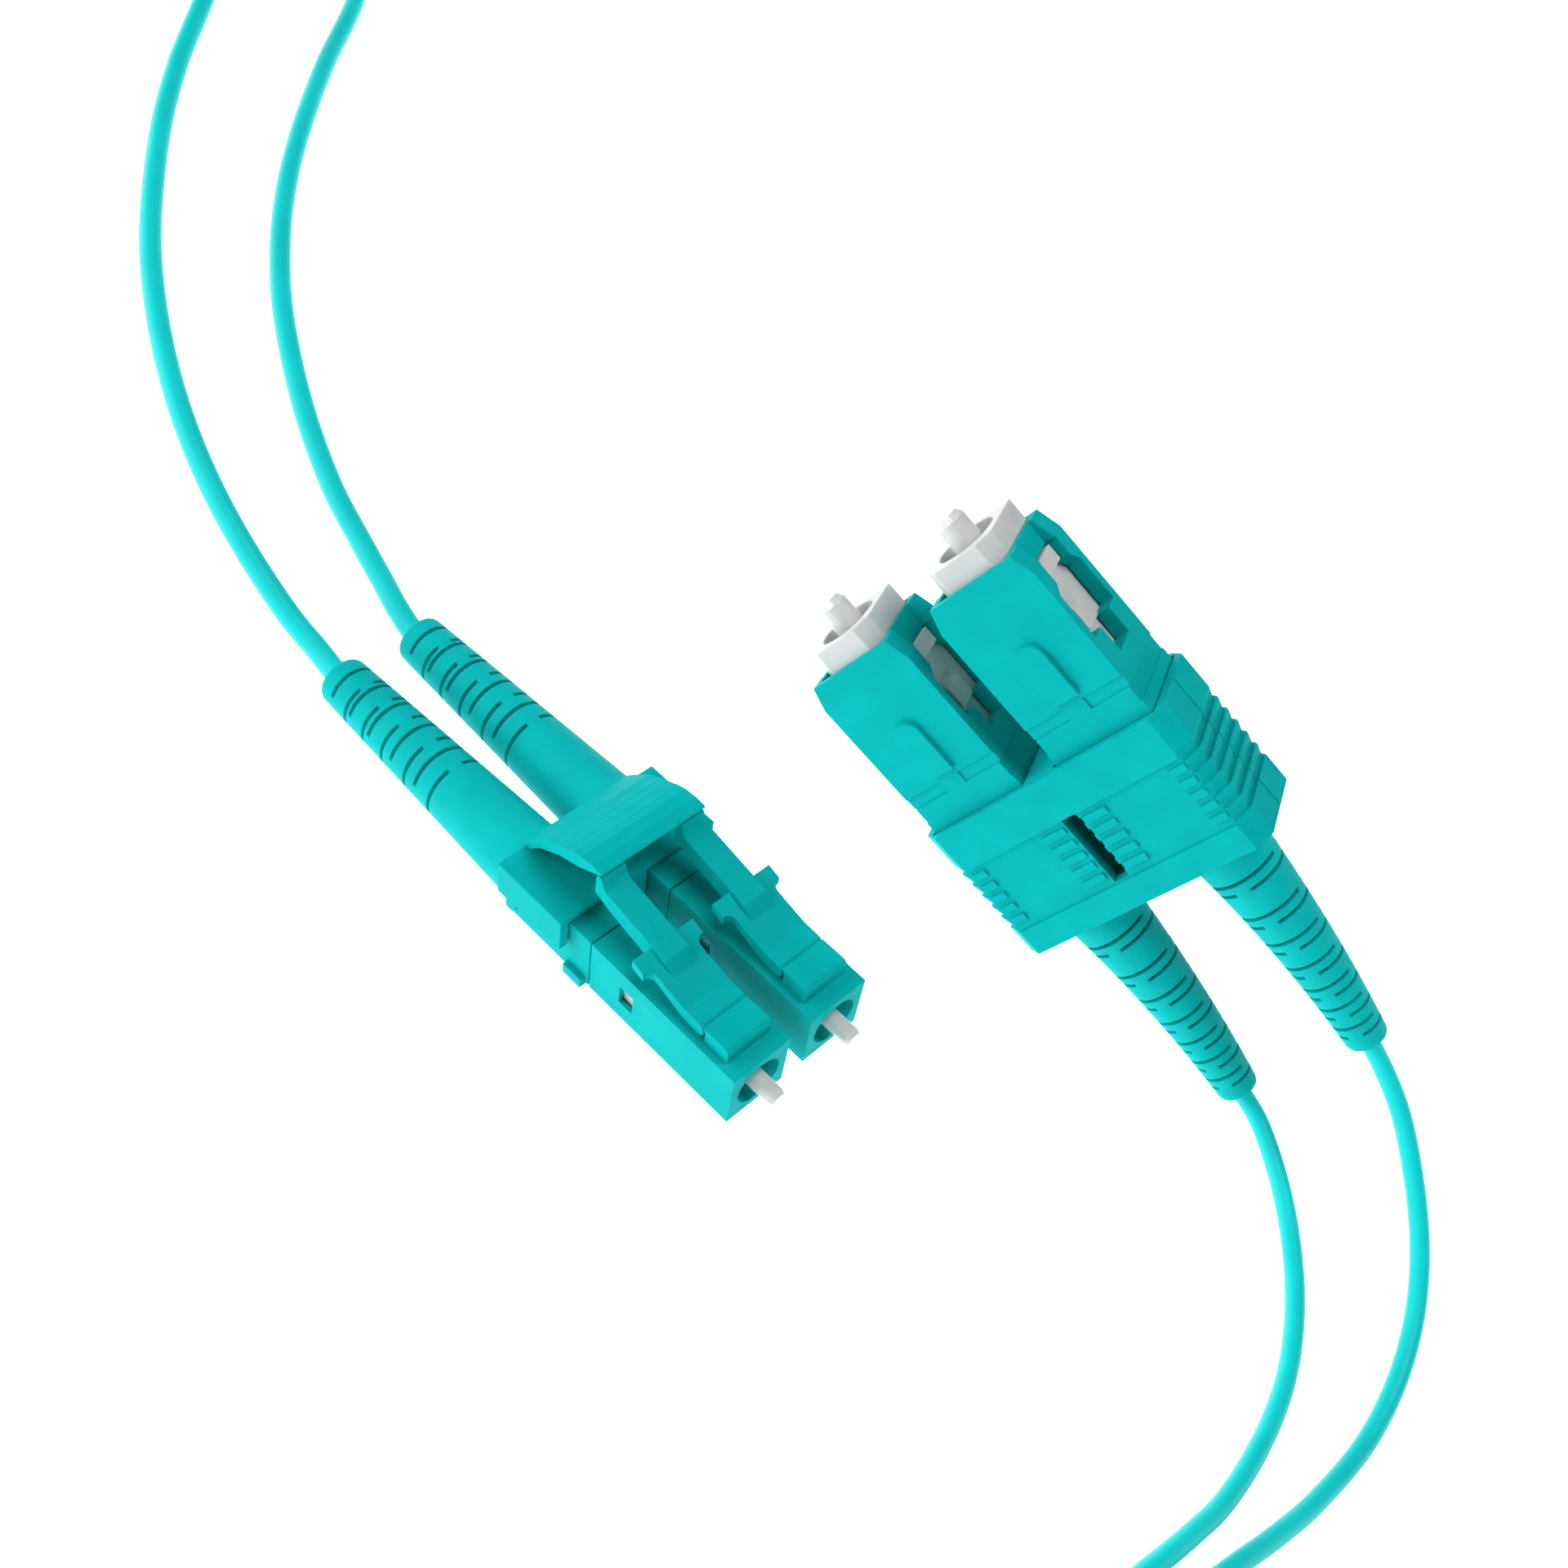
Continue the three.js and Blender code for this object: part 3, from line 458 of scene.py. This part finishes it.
# material and edge rounding of the nodes that have one for line a and one for line b
PAIRED_NODES = {
    "lc_housing": (PLASTIC, 0.07),
    "lc_latch": (PLASTIC, 0.07),
    "lc_backbone": (PLASTIC, 0.07),
    "lc_ferrule": (CERAMIC, 0.03),
    "lc_flange": (WHITE, 0.05),
    "lc_crimp": (PLATED, 0.04),
    "sc_sleeve": (PLASTIC, 0.1),
    "sc_frame": (WHITE, 0.09),
    "sc_ferrule": (CERAMIC, 0.05),
    "sc_flange": (PLATED, 0.05),
    "sc_crimp": (PLATED, 0.04),
    "sc_stop_ring": (PLATED, 0.05),
}


def round_edges(piece, edge_mm, angle, harden=True):
    """Rounds the edges whose faces turn by more than angle degrees."""
    bevel = piece.modifiers.new("edges", "BEVEL")
    bevel.width = edge_mm * MM
    bevel.segments = 2
    bevel.limit_method = "ANGLE"
    bevel.angle_limit = math.radians(angle)
    bevel.harden_normals = harden


def dress(node, material, edge_mm, angle=32.0):
    """Rounds a CAD node's edges as a mould leaves them, and gives it its material."""
    piece = NODES[node]
    piece.data.materials.clear()
    piece.data.materials.append(material)
    weld = piece.modifiers.new("weld", "WELD")
    weld.merge_threshold = WELD_REACH * MM
    round_edges(piece, edge_mm, angle)


for kind, (material, edge) in PAIRED_NODES.items():
    for tag in "ab":
        dress(f"{kind}_{tag}", material, edge)
dress("lc_clip", PLASTIC, 0.08)
dress("lc_trigger", PLASTIC, 0.08, angle=40.0)
dress("sc_clip_upper", PLASTIC, 0.045)
dress("sc_clip_lower", PLASTIC, 0.045)
for cord in cords:
    cord.data.materials.append(JACKET)


# ---- springs ------------------------------------------------------------------------------

def make_spring(node, joint, pose, rear, front):
    """The CAD spring's coil, copied in spring steel in place of the CAD node."""
    coil = bpy.data.objects.new(f"{node}_coil", NODES[node].data.copy())
    bpy.context.scene.collection.objects.link(coil)
    coil.data.materials.clear()
    coil.data.materials.append(STEEL)
    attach(coil, "root")
    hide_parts(node)
    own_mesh(coil)


for tag in "ab":
    make_spring(f"lc_spring_{tag}", f"lc_ferrule_{tag}_push", LC_POSE, **LC_SPRING)
    make_spring(f"sc_spring_{tag}", f"sc_ferrule_{tag}_push", SC_POSE, **SC_SPRING)


# ---- boots --------------------------------------------------------------------------------

BOOT_SIDES = 48
BOOT_GAP = 0.01                   # how far behind its front an LC boot's mesh starts
CUTTER_REACH = 1.3                # of a slot's cutter, against the boot's radius there
SLOPE_STEP = 0.01                 # for the direction of an SC boot's sagging middle


def plug_left(along):
    """The plug's left, made square to along."""
    left = Vector((0, 1, 0))
    return (left - along * left.dot(along)).normalized()


def ring_points(centre, along, radius):
    """Points of a circle round centre, square to along, starting from the plug's left."""
    left = plug_left(along)
    up = along.cross(left)
    turns = [2 * math.pi * k / BOOT_SIDES for k in range(BOOT_SIDES)]
    return [centre + radius * (left * math.cos(a) + up * math.sin(a)) for a in turns]


def tube_mesh(stations, bore):
    """A closed tube through stations of (centre, direction, outer radius), with one bore throughout."""
    mesh = bmesh.new()
    outer = [[mesh.verts.new(p) for p in ring_points(*station)] for station in stations]
    inner = [[mesh.verts.new(p) for p in ring_points(centre, along, bore)] for centre, along, _ in stations]
    loops = [*outer, *reversed(inner)]
    for here, there in zip(loops, [*loops[1:], loops[0]]):
        for k in range(BOOT_SIDES):
            n = (k + 1) % BOOT_SIDES
            mesh.faces.new((here[k], here[n], there[n], there[k]))
    bmesh.ops.recalc_face_normals(mesh, faces=mesh.faces)
    return mesh


def slot_cutters(slots, spine):
    """Two cutters, one each side of the boot's spine, for each slot.

    A slot is its centre, the boot's direction and radius there, its turn in degrees and its width.
    """
    mesh = bmesh.new()
    for centre, along, radius, turn, width in slots:
        across = Matrix.Rotation(math.radians(turn), 3, along) @ plug_left(along)
        up = along.cross(across)
        far = radius * CUTTER_REACH
        tall = up * radius * 2 * CUTTER_REACH
        for side in (1, -1):
            place = Matrix((along * width, across * (far - spine), tall)).transposed().to_4x4()
            middle = centre + across * side * (spine + far) / 2
            bmesh.ops.create_cube(mesh, size=1.0, matrix=Matrix.Translation(middle) @ place)
    return mesh


def make_boot(name, node, pose, y, stations, slots, spine):
    """A boot with its slots cut, made in the plug's own frame and then moved to its place."""
    boot = as_object(tube_mesh(stations, BOOT_BORE), name)
    cutters = as_object(slot_cutters(slots, spine), f"{name}_cutters")
    carve = boot.modifiers.new("slots", "BOOLEAN")
    carve.object = cutters
    carve.operation = "DIFFERENCE"
    carve.solver = "EXACT"
    shown = bpy.context.evaluated_depsgraph_get()
    carved = bpy.data.meshes.new_from_object(boot.evaluated_get(shown))
    boot.modifiers.clear()
    boot.data = carved
    bpy.data.objects.remove(cutters)
    carved.transform(plug_matrix(pose) @ Matrix.Translation((0, y, 0)))
    carved.materials.clear()
    carved.materials.append(BOOT)
    round_edges(boot, 0.06, angle=35)
    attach(boot, "root")
    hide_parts(node)


def slot_rings(station, pairs, width):
    """Slots in pairs: the first is cut from the plug's left and right, the second from its top and bottom."""
    rings = []
    for sideways, upright in pairs:
        rings.append((*station(sideways), 0, width))
        rings.append((*station(upright), 90, width))
    return rings


def lc_boot(tag, y):
    """A straight boot that tapers evenly."""
    front, rear = LC_BOOT["front"], LC_BOOT["rear"]

    def station(x, trim=0.0):
        radius = LC_BOOT["front_r"] + (LC_BOOT["rear_r"] - LC_BOOT["front_r"]) * (x - front) / (rear - front)
        return Vector((x, 0, 0)), Vector((-1, 0, 0)), radius - trim

    places = (front - BOOT_GAP, *LC_BOOT["rings"], rear + LC_BOOT["straight_until"])
    stations = [station(x) for x in places]
    stations += [station(rear + before, trim) for before, trim in LC_BOOT["lip"]]
    pairs = [(x, x - LC_BOOT["apart"]) for x in LC_BOOT["slots"]]
    slots = slot_rings(station, pairs, LC_BOOT["slot_width"])
    make_boot(f"boot_lc_{tag}", f"lc_boot_{tag}", LC_POSE, y, stations, slots, LC_BOOT["spine"])


def sc_boot(tag, y):
    """A boot that leaves its clip level, then sags and tapers."""
    front, rear = SC_BOOT["front"], SC_BOOT["rear"]
    slimming = 0.85               # under 1, so that the boot narrows a little sooner than evenly

    def station(x, trim=0.0):
        slope = (sc_sag(x - SLOPE_STEP) - sc_sag(x)) / SLOPE_STEP
        radius = SC_BOOT["front_r"] + (SC_BOOT["rear_r"] - SC_BOOT["front_r"]) * sc_part_way(x) ** slimming
        return Vector((x, sc_sag(x), 0)), Vector((-1, slope, 0)).normalized(), radius - trim

    count = SC_BOOT["ring_count"]
    straight = rear + SC_BOOT["straight_until"] - front
    stations = [station(front + straight * i / count) for i in range(count + 1)]
    stations += [station(rear + before, trim) for before, trim in SC_BOOT["lip"]]
    pairs = [(x - SC_BOOT["apart"], x) for x in SC_BOOT["slots"]]
    slots = slot_rings(station, pairs, SC_BOOT["slot_width"])
    make_boot(f"boot_sc_{tag}", f"sc_boot_{tag}", SC_POSE, y, stations, slots, SC_BOOT["spine"])


for tag, side in (("a", 1), ("b", -1)):
    lc_boot(tag, side * LC_PITCH / 2)
    sc_boot(tag, side * SC_PITCH / 2)


# ---- tie ----------------------------------------------------------------------------------

def make_tie():
    """A closed band round the coil's strands, with round corners."""
    corner = TIE_SIZE["corner"]
    skin = corner + TIE_SIZE["thick"]
    near = COIL_AT[1] - TIE_SIZE["outer"] + corner
    far = COIL_AT[1] - TIE_SIZE["inner"] - corner
    high = TIE_SIZE["high"] - corner
    low = TIE_SIZE["low"] + TIE_SIZE["thick"] + corner
    left = COIL_AT[0] - TIE_SIZE["width"] / 2
    right = COIL_AT[0] + TIE_SIZE["width"] / 2
    steps = 6                     # in each corner's quarter turn
    mesh = bmesh.new()
    rows = []
    for start, (y, z) in zip((0, 90, 180, 270), ((far, high), (near, high), (near, low), (far, low))):
        for i in range(steps + 1):
            a = math.radians(start + 90 * i / steps)
            row = []
            for reach, x in ((corner, left), (skin, left), (skin, right), (corner, right)):
                row.append(mesh.verts.new((x, y + math.cos(a) * reach, z + math.sin(a) * reach)))
            rows.append(row)
    for here, there in zip(rows, [*rows[1:], rows[0]]):
        for k in range(4):
            n = (k + 1) % 4
            mesh.faces.new((here[k], here[n], there[n], there[k]))
    bmesh.ops.recalc_face_normals(mesh, faces=mesh.faces)
    bmesh.ops.scale(mesh, vec=(MM, MM, MM), verts=mesh.verts)
    tie = as_object(mesh, "tie_band")
    round_edges(tie, 0.1, angle=30, harden=False)
    tie.data.materials.append(BAND)
    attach(tie, "root")
    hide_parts("cord_tie")


make_tie()


# ---- floor and light ----------------------------------------------------------------------

FLOOR_SIZE = 6.0                  # in metres, as the lights' places and sizes are
# heights here are the z of a direction: the studio is fully bright up to the first and dim from the second
WHITE_UP_TO = 0.04
DIM_FROM = 0.4
DIM = 0.08


def make_floor():
    """A floor that glows, so that it stays white under the object."""
    bpy.ops.mesh.primitive_plane_add(size=FLOOR_SIZE, location=(0, 0, 0))
    floor = bpy.context.object
    floor.name = "floor"
    made = Material("floor")
    made.set(Roughness=0.7, Base_Color=(0.6, 0.6, 0.6, 1.0), Specular_IOR_Level=0.1)
    made.set(Emission_Color=(1.0, 1.0, 1.0, 1.0), Emission_Strength=1.5)
    floor.data.materials.append(made.material)


def area_light(name, at, towards, size, watts):
    """A soft square light."""
    light = bpy.data.lights.new(name, "AREA")
    light.shape = "SQUARE"
    light.size = size
    light.energy = watts
    made = bpy.data.objects.new(name, light)
    made.location = at
    made.rotation_mode = "QUATERNION"
    made.rotation_quaternion = (Vector(towards) - Vector(at)).to_track_quat("-Z", "Y")
    bpy.context.scene.collection.objects.link(made)


def make_surroundings():
    """A studio that is white low down all round and dim overhead."""
    world = bpy.data.worlds.new("studio")
    world.use_nodes = True
    nodes = world.node_tree.nodes
    links = world.node_tree.links
    direction = nodes.new("ShaderNodeTexCoord").outputs["Generated"]
    height = nodes.new("ShaderNodeSeparateXYZ")
    links.new(direction, height.inputs["Vector"])
    fade = nodes.new("ShaderNodeMapRange")
    fade.interpolation_type = "SMOOTHSTEP"
    fade.inputs["From Min"].default_value = WHITE_UP_TO
    fade.inputs["From Max"].default_value = DIM_FROM
    fade.inputs["To Min"].default_value = 1.0
    fade.inputs["To Max"].default_value = DIM
    links.new(height.outputs["Z"], fade.inputs["Value"])
    background = nodes["Background"]
    background.inputs["Color"].default_value = (1.0, 1.0, 1.0, 1.0)
    links.new(fade.outputs["Result"], background.inputs["Strength"])
    bpy.context.scene.world = world


def make_light():
    """Three soft lights: low on the -X side, overhead, and low on the +X side."""
    bpy.context.scene.view_settings.view_transform = "Standard"
    area_light("key", at=(-0.55, 0.05, 0.08), towards=(0, 0, 0.01), size=0.3, watts=1.0)
    area_light("top", at=(-0.1, 0.05, 0.7), towards=(0, 0, 0), size=0.45, watts=3.3)
    area_light("rim", at=(0.55, 0.0, 0.12), towards=(0, 0, 0.01), size=0.3, watts=0.9)


make_floor()
make_surroundings()
make_light()
